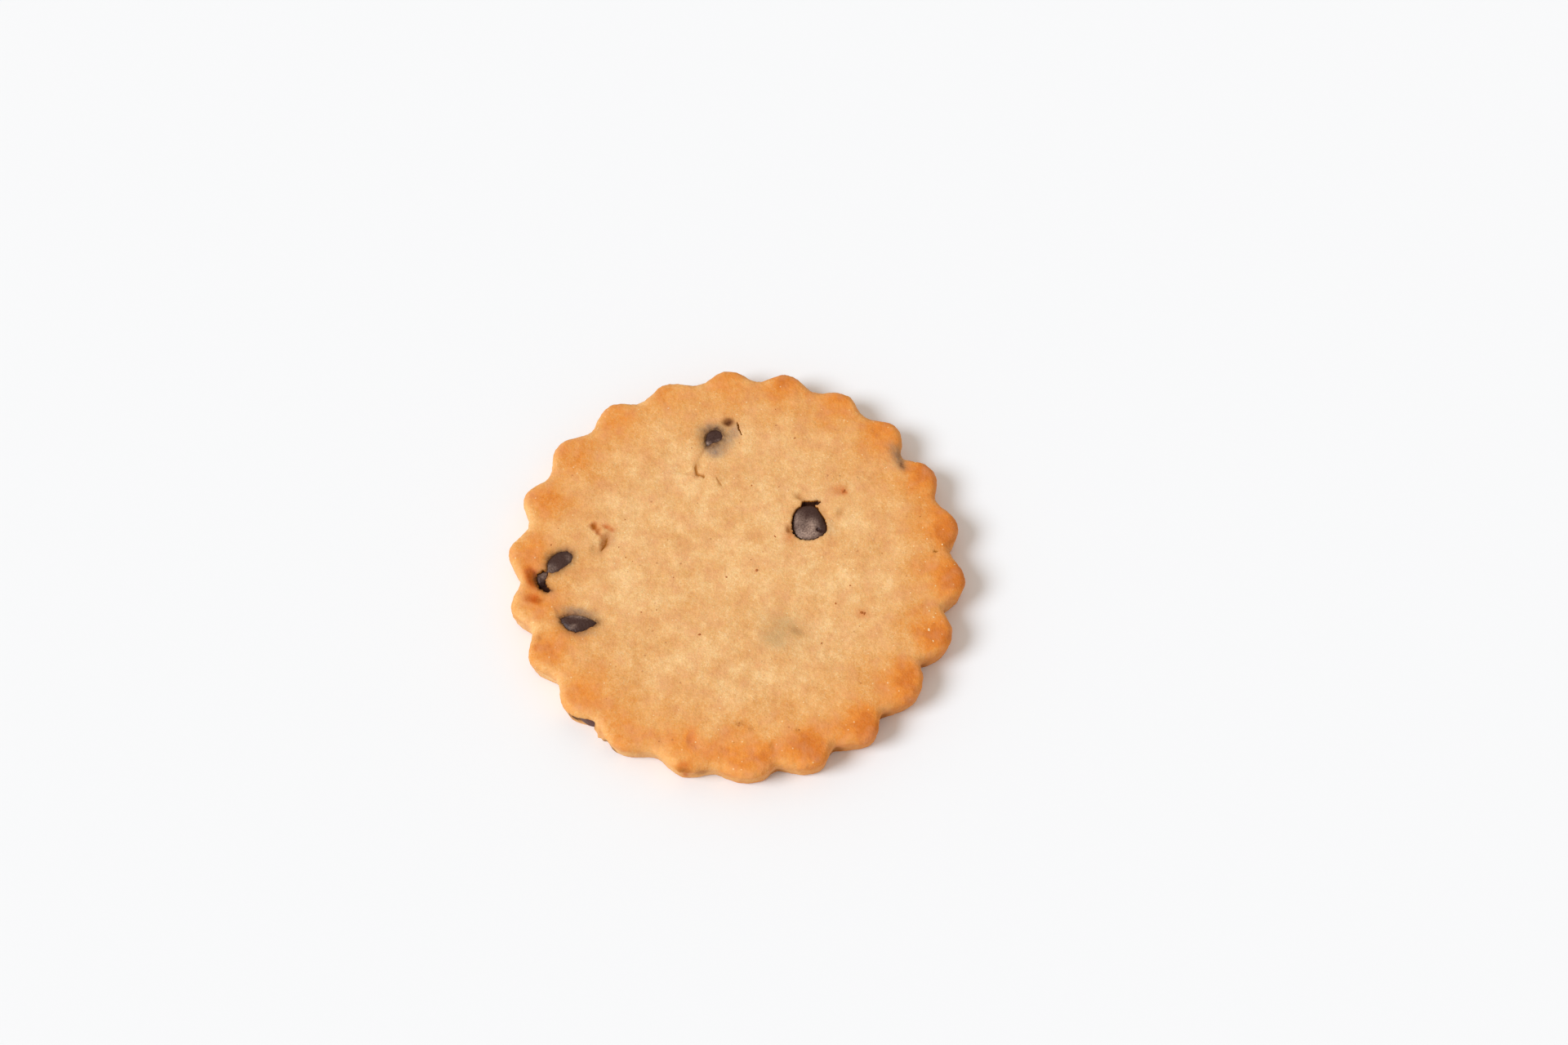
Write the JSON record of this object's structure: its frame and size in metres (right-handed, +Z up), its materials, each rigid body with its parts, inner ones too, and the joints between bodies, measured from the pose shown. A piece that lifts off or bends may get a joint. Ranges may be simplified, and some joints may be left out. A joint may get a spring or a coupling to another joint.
{
  "type": "cookie",
  "caption": "Thin round cookie stamped with a fluted edge, with a flat underside, a gently uneven baked top, small cracks, and chocolate drops set in its top and side.",
  "frame": {"origin": "middle of the flat underside, on the surface that the cookie lies on", "axes": "+Z up through the thickness, -Y towards the viewer of the picture, +X to the viewer's right"},
  "size_m": [0.06, 0.0596, 0.005],
  "materials": {
    "dough": "matte baked crumb, pale gold in the middle and browner at the rim",
    "chocolate": "dark chocolate with a soft satin sheen and a faint grey bloom"
  },
  "bodies": {
    "root": {"biscuit": "dough", "chip_centre": "chocolate", "chip_back": "chocolate", "chip_left": "chocolate", "chip_left_rim": "chocolate", "chip_left_front": "chocolate", "chip_front_rim": "chocolate", "chip_right_rim": "chocolate"}
  },
  "joints": []
}
